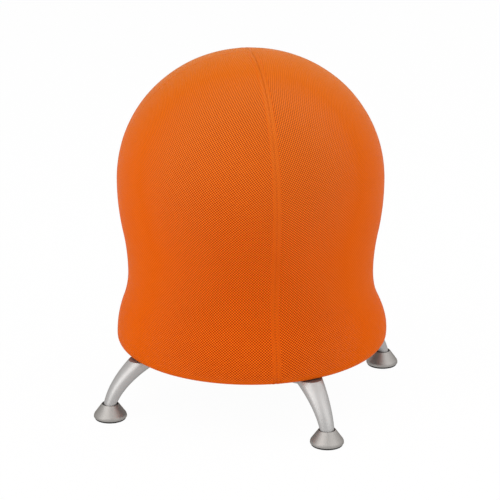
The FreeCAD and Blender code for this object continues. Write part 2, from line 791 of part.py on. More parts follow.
def make_foot(side, turn):
    """One foot: a ball stud screwed into the leg, a snap cup on its ball, the cone that
    turns on the cup, and the pad that takes the floor."""
    stud = new_body("foot_stud_" + side, turn, "foot_reach")
    ball_meets_neck = "(joint_height + sqrt(joint_ball^2 - stud_neck^2))"
    collar_base = "(ankle_height - stud_collar_thick)"
    turned(stud, "stud_turned", [
        ("0", "joint_height - joint_ball", "joint_ball"),
        ("joint_ball", "joint_height", "joint_ball"),
        ("stud_neck", ball_meets_neck),
        ("stud_neck", collar_base),
        ("stud_collar*0.6", collar_base),
        ("stud_collar*0.6", "ankle_height"),
        ("stud_thread", "ankle_height"),
        ("stud_thread", "ankle_height + stud_length"),
        ("0", "ankle_height + stud_length"),
    ])
    hexagon = new_sketch(stud, "collar_hexagon", "XY_Plane", collar_base)
    add_hexagon(hexagon, "stud_collar")
    padded(stud, "collar", hexagon, "stud_collar_thick")

    cup = new_body("foot_socket_" + side, turn, "foot_reach")
    socket = "(joint_ball + running_gap)"
    cup_low = "(pad_thick + running_gap)"
    flange_top = "(pad_thick + cup_flange_thick)"
    cup_radius = "(joint_ball + cup_wall)"
    mouth = "sqrt(%s^2 - cup_mouth^2)" % socket
    mouth_height = "(joint_height + cup_mouth)"
    cup_top = "(joint_height + cup_mouth + cup_lead)"
    turned(cup, "cup_turned", [
        ("0", cup_low),
        ("cup_flange", cup_low),
        ("cup_flange", flange_top),
        (cup_radius, flange_top),
        (cup_radius, cup_top + " - edge_break"),
        (cup_radius + " - edge_break", cup_top),
        (mouth + " + cup_lead", cup_top),
        (mouth, mouth_height, "-" + socket),
        (socket, "joint_height", "-" + socket),
        ("0", "joint_height - " + socket),
    ])

    cone = new_body("foot_cone_" + side, turn, "foot_reach")
    bore = "(%s + running_gap)" % cup_radius
    foot_top = "(%s + foot_rim)" % RECESS_RADIUS
    edge_drop = "(foot_shoulder_height - foot_edge)"
    edge_arc = "((foot_round^2 + %s^2)/(2*foot_round))" % edge_drop
    turned(cone, "cone_turned", [
        ("cup_flange + running_gap", "pad_thick"),
        ("cup_flange + running_gap", flange_top + " + running_gap"),
        (bore, flange_top + " + running_gap"),
        (bore, "recess_floor"),
        (RECESS_RADIUS, "recess_floor"),
        (RECESS_RADIUS, "foot_height - edge_break"),
        (RECESS_RADIUS + " + edge_break", "foot_height"),
        (foot_top + " - edge_break", "foot_height"),
        (foot_top, "foot_height - edge_break"),
        ("foot_radius - foot_round", "foot_shoulder_height", "-" + edge_arc),
        ("foot_radius", "foot_edge"),
        ("foot_radius", "pad_thick + pad_round", "-pad_round"),
        ("foot_radius - pad_round", "pad_thick"),
    ])

    pad = new_body("foot_pad_" + side, turn, "foot_reach")
    pad_radius = "(foot_radius - pad_inset)"
    turned(pad, "pad_turned", [
        ("0", "0"),
        (pad_radius + " - pad_round", "0", "pad_round"),
        (pad_radius, "pad_round"),
        (pad_radius, "pad_thick"),
        ("0", "pad_thick"),
    ])
    return [stud, cup, cone, pad]


def make_feet():
    """The four feet, one under each leg."""
    pieces = []
    for index, side in enumerate(LEG_SIDES):
        pieces += make_foot(side, 45 + 90 * index)
    return pieces


def check_document():
    """Stop if any feature failed."""
    for item in doc.Objects:
        if "Invalid" in item.State or "Error" in item.State:
            raise RuntimeError("%s failed: %s" % (item.Name, item.State))


def export(pieces):
    """Write each sub-part to a file of its own name."""
    for piece in pieces:
        if piece.Shape.isNull() or not piece.Shape.isValid():
            raise RuntimeError(piece.Label + " has no sound shape")
        if not piece.Shape.Solids:
            raise RuntimeError(piece.Label + " has no solid")
    os.makedirs("parts", exist_ok=True)
    for piece in pieces:
        piece.Shape.exportStep("parts/%s.step" % piece.Label)
        print("%-26s solids %d  volume %.1f cm3" % (piece.Label, len(piece.Shape.Solids),
                                                    piece.Shape.Volume / 1000))


def main():
    pieces = [make_base_dish(), make_bottom_plate(), make_ball()]
    pieces += make_valve()
    pieces += make_cover()
    pieces.append(make_hem_elastic())
    pieces += make_legs()
    pieces += make_leg_fasteners()
    pieces += make_feet()
    doc.recompute()
    check_document()
    export(pieces)


main()
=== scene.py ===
import math

import bmesh
import bpy
import numpy as np
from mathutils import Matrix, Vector, noise


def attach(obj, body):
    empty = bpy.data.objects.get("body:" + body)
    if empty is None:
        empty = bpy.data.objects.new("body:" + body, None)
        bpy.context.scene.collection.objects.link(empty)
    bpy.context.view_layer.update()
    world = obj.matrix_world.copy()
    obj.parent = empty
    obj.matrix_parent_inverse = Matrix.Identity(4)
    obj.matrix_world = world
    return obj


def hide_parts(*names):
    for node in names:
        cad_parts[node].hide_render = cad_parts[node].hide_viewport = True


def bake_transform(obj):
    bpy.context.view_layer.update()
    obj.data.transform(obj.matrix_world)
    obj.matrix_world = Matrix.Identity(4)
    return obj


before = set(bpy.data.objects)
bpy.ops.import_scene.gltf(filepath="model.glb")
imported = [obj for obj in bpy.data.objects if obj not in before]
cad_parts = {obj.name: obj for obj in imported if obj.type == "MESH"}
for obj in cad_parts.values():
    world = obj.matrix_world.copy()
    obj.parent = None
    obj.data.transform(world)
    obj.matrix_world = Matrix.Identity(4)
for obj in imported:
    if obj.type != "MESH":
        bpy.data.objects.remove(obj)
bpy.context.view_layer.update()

# Balance ball chair: a knitted mesh cover in four gores over an air-filled ball, on a moulded
# base with cast legs and turned feet.  Lengths are in metres.

MM = 0.001
TINY = 1e-6

# Outline of the cover, from the crown down to the hem
OVERALL_HEIGHT = 584.0 * MM
DOME_RADIUS = 218.3 * MM
DOME_HEIGHT = 372.0 * MM
DOME_FULLNESS = 0.729
NECK_RADIUS = 202.4 * MM
NECK_HEIGHT = 217.5 * MM
WAIST_SHARE = 0.55
FLARE_RADIUS = 222.0 * MM
FLARE_HEIGHT = 109.6 * MM
FLARE_SHARE = 0.54
HEM_ROLL = 17.0 * MM
HEM_REACH = 164.4 * MM
CHANNEL_RADIUS = 3.6 * MM
COVER_WALL = 3.0 * MM
COVER_BOTTOM = FLARE_HEIGHT - HEM_ROLL

# Gores and their seams
PANEL_SIDES = ["back", "left", "front", "right"]
SEAM_ANGLE = math.radians(28)
GORE_ANGLE = math.pi / 2
ROW_STEP = 3.0 * MM
STITCH_LINE = 6.5 * MM
STITCH_PITCH = 3.6 * MM
STITCH_START = 22 * MM
STITCH_STOP = 45 * MM
STITCH_LIFT = 0.1 * MM
TOPSTITCH_LENGTH = 2.7 * MM
TOPSTITCH_RADIUS = 0.36 * MM
FLAT_STITCH_LENGTH = 2.0 * MM
FLAT_STITCH_RADIUS = 0.22 * MM
HEM_STITCH_REACH = 172.5 * MM
STITCH_SIDES = 8
STITCH_RINGS = 5

# Where the cover hangs fuller over the flare, and how far
FULLER_TURN = math.radians(17)
FULLER_SPREAD = math.radians(62)
FULLER_HEIGHT = 125 * MM
FULLER_RISE = 62 * MM
FULLER_DEPTH = 5.0 * MM

# Folds of the hem, and the unevenness of the stretched cloth
GATHER_START = 196 * MM
GATHER_COUNT = 76
GATHER_DEPTH = 1.7 * MM
SLOW_SLACK = 0.45 * MM
FINE_SLACK = 0.12 * MM
SLACK_FADE = 20 * MM

# How each gore was sewn in: the sag of its rows, its lean, and how far down the lean begins
ROW_SAG = {"front": 0, "right": -22, "back": -8, "left": -14}
LEAN = {"front": 0.075, "right": -0.065, "back": -0.05, "left": 0.05}
LEAN_START = {"front": 0.10, "right": 0.24, "back": 0.10, "left": 0.20}
NECK_DRAW = 0.6

# Ball
BALL_INSET = 3.3 * MM
BALL_WALL = 1.8 * MM
BALL_SIDES = 128
VALVE_HOLE = 10.3 * MM

LEG_SIDES = ["back_right", "back_left", "front_left", "front_right"]


# Outlines, as points of reach and height

def dome(inset, steps=90):
    """The dome from the crown to its widest point, a conic that is level above and upright
    at the side."""
    top = np.array([0.0, OVERALL_HEIGHT - inset])
    corner = np.array([DOME_RADIUS - inset, OVERALL_HEIGHT - inset])
    side = np.array([DOME_RADIUS - inset, DOME_HEIGHT])
    t = np.linspace(0, 1, steps)[:, None]
    weight = 2 * DOME_FULLNESS * t * (1 - t)
    blend = (1 - t) ** 2 + weight + t ** 2
    return ((1 - t) ** 2 * top + weight * corner + t ** 2 * side) / blend


def arc(centre, start, finish, steps=40):
    """Points of an arc of less than half a turn."""
    centre = np.array(centre)
    first = np.array(start) - centre
    last = np.array(finish) - centre
    angle = math.atan2(first[1], first[0])
    turn = math.atan2(last[1], last[0]) - angle
    turn = (turn + math.pi) % (2 * math.pi) - math.pi
    t = angle + turn * np.linspace(0, 1, steps)
    return centre + np.hypot(*first) * np.stack([np.cos(t), np.sin(t)], axis=1)


def s_curve(top, bottom, share, inset):
    """Two arcs that join two upright tangents."""
    step = abs(top[0] - bottom[0])
    radii = (step ** 2 + (top[1] - bottom[1]) ** 2) / (2 * step)
    wide, narrow = (top, bottom) if top[0] > bottom[0] else (bottom, top)
    wide_centre = np.array([wide[0] - radii * share, wide[1]])
    narrow_centre = np.array([narrow[0] + radii * (1 - share), narrow[1]])
    toward = (narrow_centre - wide_centre) / np.hypot(*(narrow_centre - wide_centre))
    turn_point = wide_centre + toward * (radii * share - inset)
    centres = [wide_centre, narrow_centre]
    if top[0] < bottom[0]:
        centres.reverse()
    first = (top[0] - inset, top[1])
    last = (bottom[0] - inset, bottom[1])
    return [arc(centres[0], first, turn_point), arc(centres[1], turn_point, last)]


def cover_wall_path():
    """The cover's face, from the crown to where the hem's channel begins."""
    widest = (DOME_RADIUS, DOME_HEIGHT)
    neck = (NECK_RADIUS, NECK_HEIGHT)
    flare = (FLARE_RADIUS, FLARE_HEIGHT)
    roll_centre = (FLARE_RADIUS - HEM_ROLL, FLARE_HEIGHT)
    under = (FLARE_RADIUS - HEM_ROLL, COVER_BOTTOM)
    parts = [dome(0)]
    parts += s_curve(widest, neck, WAIST_SHARE, 0)
    parts += s_curve(neck, flare, FLARE_SHARE, 0)
    parts.append(arc(roll_centre, flare, under))
    parts.append(np.linspace(under, (channel_join(), COVER_BOTTOM), 30))
    return np.concatenate(parts)


def channel_join():
    """The reach at which the hem's channel closes on the inside of the cover."""
    return HEM_REACH + math.sqrt(CHANNEL_RADIUS ** 2 - (COVER_WALL - CHANNEL_RADIUS) ** 2)


def channel_path():
    """Round the hem's channel, from the underside back to the inside of the cover."""
    steps = 9
    middle = (HEM_REACH, COVER_BOTTOM + CHANNEL_RADIUS)
    under = (HEM_REACH, COVER_BOTTOM)
    over = (HEM_REACH, COVER_BOTTOM + 2 * CHANNEL_RADIUS)
    inward = (HEM_REACH - CHANNEL_RADIUS, COVER_BOTTOM + CHANNEL_RADIUS)
    join = (channel_join(), COVER_BOTTOM + COVER_WALL)
    return np.concatenate([
        arc(middle, under, inward, steps)[:-1],
        arc(middle, inward, over, steps)[:-1],
        arc(middle, over, join, steps),
    ])


def even_points(path, step):
    """Points at an even spacing along a path, with their arc lengths."""
    lengths = np.hypot(*np.diff(path, axis=0).T)
    keep = np.concatenate([[True], lengths > 1e-9])
    path = path[keep]
    along = np.concatenate([[0], np.cumsum(lengths[lengths > 1e-9])])
    wanted = np.linspace(0, along[-1], int(round(along[-1] / step)) + 1)
    points = np.stack([np.interp(wanted, along, path[:, axis]) for axis in (0, 1)], axis=1)
    return points, wanted


def outward(points):
    """The face's own direction at each point of a path that starts at the crown."""
    ahead = np.gradient(points, axis=0)
    ahead /= np.hypot(ahead[:, 0], ahead[:, 1])[:, None]
    return np.stack([-ahead[:, 1], ahead[:, 0]], axis=1)


# Meshes

def new_piece(name, vertices, faces, material, sharp_angle=40):
    """A mesh piece with smooth shading, sharp only at its real edges."""
    mesh = bpy.data.meshes.new(name)
    mesh.from_pydata([tuple(vertex) for vertex in vertices], [], faces)
    mesh.update()
    mesh.polygons.foreach_set("use_smooth", [True] * len(mesh.polygons))
    mesh.set_sharp_from_angle(angle=math.radians(sharp_angle))
    mesh.materials.append(material)
    piece = bpy.data.objects.new(name, mesh)
    bpy.context.scene.collection.objects.link(piece)
    return piece


def weld(piece):
    """Join the points that lie in one place."""
    shape = bmesh.new()
    shape.from_mesh(piece.data)
    bmesh.ops.remove_doubles(shape, verts=shape.verts, dist=TINY)
    bmesh.ops.recalc_face_normals(shape, faces=shape.faces)
    shape.to_mesh(piece.data)
    shape.free()


def store(piece, name, values):
    """Keep a vector for each point of a piece, for its material."""
    attribute = piece.data.attributes.new(name, "FLOAT_VECTOR", "POINT")
    attribute.data.foreach_set("vector", np.asarray(values, np.float32).ravel())


def grid_faces(rows, columns):
    """Quads between neighbouring rows of points."""
    faces = []
    for row in range(rows - 1):
        for column in range(columns - 1):
            corner = row * columns + column
            faces.append((corner, corner + columns, corner + columns + 1, corner + 1))
    return faces


# Cover

SEAM_COLUMNS = np.array([0, 0.4, 1.0, 2.2, 3.8, 5.2, 5.9, 6.5, 7.1, 8.0, 10.0, 12.5]) * MM
SEAM_RELIEF = np.array([-0.5, -0.2, 0.0, 0.2, 0.3, 0.25, 0.0, -0.35, -0.1, 0.15, 0.05, 0]) * MM
FLAT_RELIEF = np.array([-0.3, -0.1, 0.0, 0.0, 0.0, 0.0, 0.0, 0.0, 0.0, 0.0, 0.0, 0]) * MM
MIDDLE_COLUMNS = 36

# The gores whose first seam is topstitched.  The other seams are joined flat, edge to edge.
TOPSTITCHED = ["left", "right"]


def seam_scale(reach):
    """Share of a seam's full width: it narrows where the gores run together at the crown."""
    return np.minimum(1, reach * GORE_ANGLE / (2.4 * SEAM_COLUMNS[-1]))


def gore_columns(reach):
    """Distances across the gore, from its first seam, at each reach from the axis."""
    width = reach * GORE_ANGLE
    scale = seam_scale(reach)
    near = SEAM_COLUMNS[None, :] * scale[:, None]
    far = width[:, None] - near[:, ::-1]
    share = np.linspace(0, 1, MIDDLE_COLUMNS + 2)[None, 1:-1]
    middle = near[:, -1:] + (far[:, :1] - near[:, -1:]) * share
    return np.concatenate([near, middle, far], axis=1), width


def seam_relief(distance, scale, relief=SEAM_RELIEF):
    """Height of the face over the plain cloth, by its distance from the seam."""
    return np.interp(distance / np.maximum(scale, TINY), SEAM_COLUMNS, relief) * scale


def swell(distance, reach):
    """1 in the middle, falling softly to 0 at a reach to either side."""
    return 0.5 + 0.5 * np.cos(np.clip(distance / reach, -1, 1) * math.pi)


def flare_lean(turn, height):
    """The cover hangs a little fuller on its right side, over the flare."""
    aside = (turn - FULLER_TURN + math.pi) % (2 * math.pi) - math.pi
    return FULLER_DEPTH * swell(aside, FULLER_SPREAD) * swell(height - FULLER_HEIGHT, FULLER_RISE)


def slack(places):
    """Faint unevenness of stretched cloth, the same on both of its faces."""
    return np.array([noise.noise(Vector(place) * 9.0) * SLOW_SLACK
                     + noise.noise(Vector(place) * 27.0) * FINE_SLACK for place in places])


def gathers(reach, turn, under):
    """Small folds of the hem where the elastic draws it in, on the underside only."""
    drawn = np.clip((GATHER_START - reach) / (GATHER_START - HEM_REACH), 0, 1) * under
    uneven = 1.7 * np.sin(turn * 9 + 0.6)
    wave = 0.5 + 0.5 * np.sin(turn * GATHER_COUNT + uneven)
    return drawn ** 1.5 * wave * GATHER_DEPTH


def cut_reach(reach, height):
    """The gore is cut as wide as the dome, and draws in less than the neck below it."""
    drawn = DOME_RADIUS - NECK_DRAW * (DOME_RADIUS - np.maximum(reach, NECK_RADIUS))
    neck = DOME_RADIUS - NECK_DRAW * (DOME_RADIUS - NECK_RADIUS)
    below = np.where(height < NECK_HEIGHT, neck, drawn)
    return np.where(height < DOME_HEIGHT, below, reach)


def row_bow(length, extra):
    """How far the rows of knitting sag from the middle of a gore, per radian squared."""
    knots = np.array([0, 120, 240, 300, 360, 420, 480, 540, 610]) * MM
    sag = np.array([0, -22, -24, -19, -7, 5, 6.5, 1, -8.5]) * MM
    more = np.interp(length, [0.12, 0.38, 0.61], [0.2, 1.0, 0.7]) * extra
    return np.interp(length, knots, sag) + more


def cloth_place(side, turn, reach, height, length):
    """Where a point lies on the cloth as it was knitted: across, and along from the crown."""
    drift = LEAN[side] * np.clip(length - LEAN_START[side], 0, 0.25)
    slack_rows = 5.3 * MM * np.exp(-((length - 0.52) / 0.075) ** 2)
    across = turn * cut_reach(reach, height) + drift
    along = length - slack_rows + row_bow(length, ROW_SAG[side] * MM) * turn ** 2
    return across, along


def gore_faces(rows, hem_rows, columns):
    """Faces of a gore: its outside, round the channel, its inside, and its two sewn edges."""
    loop = 2 * rows + hem_rows
    faces = grid_faces(loop, columns)
    for edge, flipped in ((0, False), (columns - 1, True)):
        for row in range(rows - 1):
            back = loop - 1 - row
            side = [row, back, back - 1, row + 1]
            corners = [corner * columns + edge for corner in side]
            faces.append(tuple(corners[::-1] if flipped else corners))
        channel = [row * columns + edge for row in range(rows - 1, rows + hem_rows + 1)]
        faces.append(tuple(channel[::-1] if flipped else channel))
    return faces


def make_gore(side, first_angle, material):
    """One gore of the cover, with its thickness, pressed seams and gathered hem."""
    wall, along = even_points(cover_wall_path(), ROW_STEP)
    channel = channel_path()[1:-1]
    facing = outward(wall)
    inside = wall - facing * COVER_WALL
    hem_facing = channel - np.array([HEM_REACH, COVER_BOTTOM + CHANNEL_RADIUS])
    hem_facing /= np.hypot(hem_facing[:, 0], hem_facing[:, 1])[:, None]
    inside[:, 0] = np.maximum(inside[:, 0], 0)
    points = np.concatenate([wall, channel, inside[::-1]])
    normals = np.concatenate([facing, hem_facing, facing[::-1]])
    hem_along = along[-1] + np.arange(1, len(channel) + 1) * MM
    lengths = np.concatenate([along, hem_along, along[::-1]])
    outer = np.concatenate([np.ones(len(wall)), np.zeros(len(channel) + len(wall))])

    across, width = gore_columns(points[:, 0])
    reach = points[:, :1]
    turn = first_angle + across / np.maximum(reach, 1e-9)
    distance = np.minimum(across, width[:, None] - across)
    scale = seam_scale(points[:, 0])[:, None]
    first_half = across < width[:, None] / 2
    flat_seam = first_half != (side in TOPSTITCHED)
    flat_relief = seam_relief(distance, scale, FLAT_RELIEF)
    relief = np.where(flat_seam, flat_relief, seam_relief(distance, scale)) * outer[:, None]
    under = (points[:, 1:] < COVER_BOTTOM + 3 * CHANNEL_RADIUS).astype(float)
    lift = gathers(reach, turn, under)
    flat = np.stack([reach * np.cos(turn), reach * np.sin(turn),
                     np.broadcast_to(points[:, 1:], turn.shape)], axis=2)
    uneven = slack(flat.reshape(-1, 3)).reshape(turn.shape)
    uneven = uneven * np.clip((points[:, 1:] - COVER_BOTTOM) / SLACK_FADE, 0, 1)
    push = relief + uneven
    lean = flare_lean(turn, points[:, 1:])
    reach_now = reach + normals[:, :1] * push + lean
    height_now = points[:, 1:] + normals[:, 1:] * push + lift
    vertices = np.stack([reach_now * np.cos(turn), reach_now * np.sin(turn), height_now], axis=2)
    rows, columns = turn.shape
    faces = gore_faces(len(wall), len(channel), columns)
    gore = new_piece("mesh_gore_" + side, vertices.reshape(-1, 3), faces, material)
    from_middle = turn - first_angle - GORE_ANGLE / 2
    knitted = cloth_place(side, from_middle, reach, points[:, 1:], lengths[:, None])
    pressed = np.where(flat_seam, distance + SEAM_COLUMNS[-1], distance)
    cloth = np.stack([*knitted, pressed], axis=2)
    store(gore, "cloth", cloth.reshape(-1, 3))
    weld(gore)
    gore.data.set_sharp_from_angle(angle=math.radians(50))
    return gore


def stitch_shape(length, radius):
    """One stitch: a short thread with both ends going down into the cloth."""
    around, rings = STITCH_SIDES, STITCH_RINGS
    points = []
    for ring in range(rings):
        share = ring / (rings - 1) * 2 - 1
        thick = radius * math.sqrt(max(1 - 0.75 * share ** 2, 0.05))
        sink = -1.1 * radius * share ** 2
        for step in range(around):
            angle = 2 * math.pi * step / around
            points.append((share * length / 2, thick * math.cos(angle),
                           thick * math.sin(angle) + sink))
    faces = []
    for ring in range(rings - 1):
        for step in range(around):
            corner = ring * around + step
            following = ring * around + (step + 1) % around
            faces.append((corner, following, following + around, corner + around))
    faces.append(tuple(reversed(range(around))))
    faces.append(tuple(range((rings - 1) * around, rings * around)))
    return np.array(points), faces


def sew(name, places, material, length, radius):
    """A row of stitches.  A place is a point, the thread's direction and the cloth's face."""
    shape, shape_faces = stitch_shape(length, radius)
    vertices = []
    faces = []
    for point, direction, face in places:
        side = np.cross(face, direction)
        offset = len(vertices)
        for x, y, z in shape:
            vertices.append(point + direction * x + side * y + face * z)
        faces += [tuple(offset + corner for corner in corners) for corners in shape_faces]
    return new_piece(name, vertices, faces, material, sharp_angle=80)


def seam_places(angle, flat):
    """Where a seam's stitches go, from the crown to the flare's edge: a row of topstitching
    on each side of it, or where it is joined flat, short stitches across it."""
    wall, along = even_points(cover_wall_path(), 0.6 * MM)
    facing = outward(wall)
    places = []
    for length in np.arange(STITCH_START, along[-1] - STITCH_STOP, STITCH_PITCH):
        index = int(np.argmin(abs(along - length)))
        reach, height = wall[index]
        normal = facing[index]
        scale = float(seam_scale(np.array([reach]))[0])
        lift = 0.0 if flat else seam_relief(STITCH_LINE * scale, scale) + STITCH_LIFT
        for side in ([0] if flat else [-1, 1]):
            turn = angle + side * STITCH_LINE * scale / reach
            radial = np.array([math.cos(turn), math.sin(turn), 0])
            face = radial * normal[0] + np.array([0, 0, normal[1]])
            direction = radial * normal[1] + np.array([0, 0, -normal[0]])
            if flat:
                direction = np.cross(direction, face)
            reach_now = reach + normal[0] * lift + float(flare_lean(turn, height))
            point = radial * reach_now + np.array([0, 0, height + normal[1] * lift])
            places.append((point, direction, face))
    return places


def hem_places():
    """Where the stitches that close the elastic's channel go, on the underside."""
    reach = HEM_STITCH_REACH
    count = int(2 * math.pi * reach / STITCH_PITCH)
    places = []
    for index in range(count):
        turn = 2 * math.pi * index / count
        lift = float(gathers(reach, turn, 1.0))
        radial = np.array([math.cos(turn), math.sin(turn), 0])
        direction = np.array([-math.sin(turn), math.cos(turn), 0])
        point = radial * reach + np.array([0, 0, COVER_BOTTOM + lift - STITCH_LIFT])
        places.append((point, direction, np.array([0, 0, -1.0])))
    return places


def squash_with_seat(piece):
    """Bake the piece's placement into its mesh."""
    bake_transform(piece)


def make_cover(cloth, thread):
    """The four gores, the stitches of each seam and the stitched hem."""
    for index, side in enumerate(PANEL_SIDES):
        angle = SEAM_ANGLE + GORE_ANGLE * index
        gore = make_gore(side, angle, cloth)
        flat = side not in TOPSTITCHED
        name = ("flat_stitching_" if flat else "topstitching_") + side
        length = FLAT_STITCH_LENGTH if flat else TOPSTITCH_LENGTH
        radius = FLAT_STITCH_RADIUS if flat else TOPSTITCH_RADIUS
        seam = sew(name, seam_places(angle, flat), thread, length, radius)
        squash_with_seat(gore)
        squash_with_seat(seam)
        if side == "front":
            hem = sew("hem_stitching", hem_places(), thread, TOPSTITCH_LENGTH,
                      TOPSTITCH_RADIUS)
            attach(hem, "base")
        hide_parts("cover_panel_" + side)


# Ball

def make_ball(material):
    """The inflated ball, with its wall and the hole for its valve."""
    centre = (0, DOME_HEIGHT)
    sections = []
    for inset in (BALL_INSET, BALL_INSET + BALL_WALL):
        radius = DOME_RADIUS - inset
        mouth = (VALVE_HOLE, DOME_HEIGHT - math.sqrt(radius ** 2 - VALVE_HOLE ** 2))
        below = arc(centre, (radius, DOME_HEIGHT), mouth, 60)
        sections.append(np.concatenate([dome(inset, 50), below[1:]]))
    section = np.concatenate([sections[0], sections[1][::-1]])
    turns = 2 * math.pi * np.arange(BALL_SIDES + 1) / BALL_SIDES
    heights = np.broadcast_to(section[:, 1:], (len(section), len(turns)))
    vertices = np.stack([section[:, :1] * np.cos(turns), section[:, :1] * np.sin(turns),
                         heights], axis=2)
    faces = grid_faces(len(section), len(turns))
    ball = new_piece("air_ball", vertices.reshape(-1, 3), faces, material)
    weld(ball)
    ball.data.set_sharp_from_angle(angle=math.radians(40))
    squash_with_seat(ball)
    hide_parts("ball")


# Materials

def fill(tree, made, inputs):
    """Set a node's inputs, each to a plain value or to another node's output."""
    for key, value in inputs.items():
        if isinstance(value, bpy.types.NodeSocket):
            tree.links.new(value, made.inputs[key])
        else:
            made.inputs[key].default_value = value


def node(tree, kind, inputs=None, **settings):
    """A node with its inputs and settings."""
    made = tree.nodes.new(kind)
    for name, value in settings.items():
        setattr(made, name, value)
    fill(tree, made, inputs or {})
    return made


def maths(tree, operation, *values):
    """One step of arithmetic on values or outputs."""
    made = node(tree, "ShaderNodeMath", dict(enumerate(values)), operation=operation)
    return made.outputs[0]


def ramp(tree, value, low, high, to_low=0.0, to_high=1.0):
    """A soft step of a value between two limits."""
    made = node(tree, "ShaderNodeMapRange", {"Value": value, "From Min": low, "From Max": high,
                                             "To Min": to_low, "To Max": to_high},
                interpolation_type="SMOOTHSTEP")
    return made.outputs["Result"]


def mixed(tree, share, first, second):
    """A colour between two, by a share."""
    made = node(tree, "ShaderNodeMix", data_type="RGBA")
    fill(tree, made, {0: share, 6: first, 7: second})
    return made.outputs[2]


def own_space(tree):
    """Coordinates that stay with the piece."""
    return node(tree, "ShaderNodeTexCoord").outputs["Object"]


def speckle(tree, scale, detail=2.0, roughness=0.5, space=None):
    """Noise from 0 to 1 in the piece's own space."""
    made = node(tree, "ShaderNodeTexNoise", {"Vector": space or own_space(tree), "Scale": scale,
                                             "Detail": detail, "Roughness": roughness})
    return made.outputs["Fac"]


def new_group(name, inputs, outputs):
    """An empty shader group with named inputs and outputs."""
    group = bpy.data.node_groups.new(name, "ShaderNodeTree")
    for label, kind, value in inputs:
        socket = group.interface.new_socket(label, in_out="INPUT", socket_type=kind)
        if value is not None:
            socket.default_value = value
    for label, kind in outputs:
        group.interface.new_socket(label, in_out="OUTPUT", socket_type=kind)
    return group, group.nodes.new("NodeGroupInput").outputs, group.nodes.new("NodeGroupOutput")


def placed(tree, group, inputs):
    """A group placed in a material with its own values."""
    made = node(tree, "ShaderNodeGroup", node_tree=group)
    fill(tree, made, inputs)
    return made.outputs


def knit_group():
    """Knitted mesh: rows of small round eyes, each row set half a pitch on from the last,
    with looped yarn between them."""
    group, given, result = new_group(
        "knitted_mesh",
        [("Cloth", "NodeSocketVector", None), ("Pitch Across", "NodeSocketFloat", 0.004535),
         ("Pitch Along", "NodeSocketFloat", 0.004329), ("Eye Size", "NodeSocketFloat", 0.5)],
        [("Eye", "NodeSocketFloat"), ("Yarn", "NodeSocketFloat"), ("Height", "NodeSocketFloat")])
    place = node(group, "ShaderNodeSeparateXYZ", {0: given["Cloth"]}).outputs
    drift = speckle(group, 900.0, 1.0, space=given["Cloth"])
    drift = maths(group, "MULTIPLY_ADD", drift, 0.9, -0.45)
    across = maths(group, "MULTIPLY", maths(group, "DIVIDE", place[0], given["Pitch Across"]),
                   2 * math.pi)
    along = maths(group, "MULTIPLY", maths(group, "DIVIDE", place[1], given["Pitch Along"]),
                  2 * math.pi)
    across = maths(group, "ADD", across, drift)
    lattice = maths(group, "MULTIPLY", maths(group, "COSINE", across),
                    maths(group, "COSINE", along))
    edge = maths(group, "MULTIPLY_ADD", given["Eye Size"], -1.4, 0.95)
    eye = ramp(group, lattice, edge, maths(group, "ADD", edge, 0.55))
    loops = maths(group, "SINE", maths(group, "ADD", maths(group, "MULTIPLY", along, 4.0),
                                       maths(group, "MULTIPLY", maths(group, "SINE", across), 2.2)))
    yarn = maths(group, "MULTIPLY_ADD", loops, 0.5, 0.5)
    raised = ramp(group, lattice, -1.0, 0.4, 1.0, 0.0)
    height = maths(group, "ADD", maths(group, "MULTIPLY", yarn, 0.12), raised)
    height = maths(group, "SUBTRACT", height, maths(group, "MULTIPLY", eye, 0.6))
    for label, value in (("Eye", eye), ("Yarn", yarn), ("Height", height)):
        group.links.new(value, result.inputs[label])
    return group


def wear_group():
    """Edge wear: a broken mask that is strongest where a surface turns sharply."""
    group, given, result = new_group(
        "edge_wear",
        [("Radius", "NodeSocketFloat", 0.001), ("Patch Scale", "NodeSocketFloat", 140.0)],
        [("Mask", "NodeSocketFloat")])
    rounded = node(group, "ShaderNodeBevel", {"Radius": given["Radius"]}, samples=4)
    plain = node(group, "ShaderNodeNewGeometry").outputs["Normal"]
    facing = node(group, "ShaderNodeVectorMath", {0: rounded.outputs[0], 1: plain},
                  operation="DOT_PRODUCT").outputs["Value"]
    turned = ramp(group, facing, 0.995, 0.9, 0.0, 1.0)
    patches = speckle(group, given["Patch Scale"], 3.0)
    broken = ramp(group, patches, 0.35, 0.65)
    group.links.new(maths(group, "MULTIPLY", turned, broken), result.inputs["Mask"])
    return group


def grain_group():
    """Fine grain of a moulded, cast or coated surface, with a slow mottle."""
    group, given, result = new_group(
        "fine_grain",
        [("Grain Scale", "NodeSocketFloat", 1500.0), ("Mottle Scale", "NodeSocketFloat", 25.0)],
        [("Grain", "NodeSocketFloat"), ("Mottle", "NodeSocketFloat")])
    group.links.new(speckle(group, given["Grain Scale"], 2.0), result.inputs["Grain"])
    group.links.new(speckle(group, given["Mottle Scale"], 4.0), result.inputs["Mottle"])
    return group


def dust_group():
    """A little dust on what faces up."""
    group, given, result = new_group(
        "settled_dust", [("Amount", "NodeSocketFloat", 0.3)], [("Mask", "NodeSocketFloat")])
    normal = node(group, "ShaderNodeNewGeometry").outputs["Normal"]
    upward = node(group, "ShaderNodeSeparateXYZ", {0: normal}).outputs[2]
    level = ramp(group, upward, 0.4, 1.0)
    cloud = ramp(group, speckle(group, 60.0, 4.0), 0.3, 0.8)
    mask = maths(group, "MULTIPLY", maths(group, "MULTIPLY", level, cloud), given["Amount"])
    group.links.new(mask, result.inputs["Mask"])
    return group


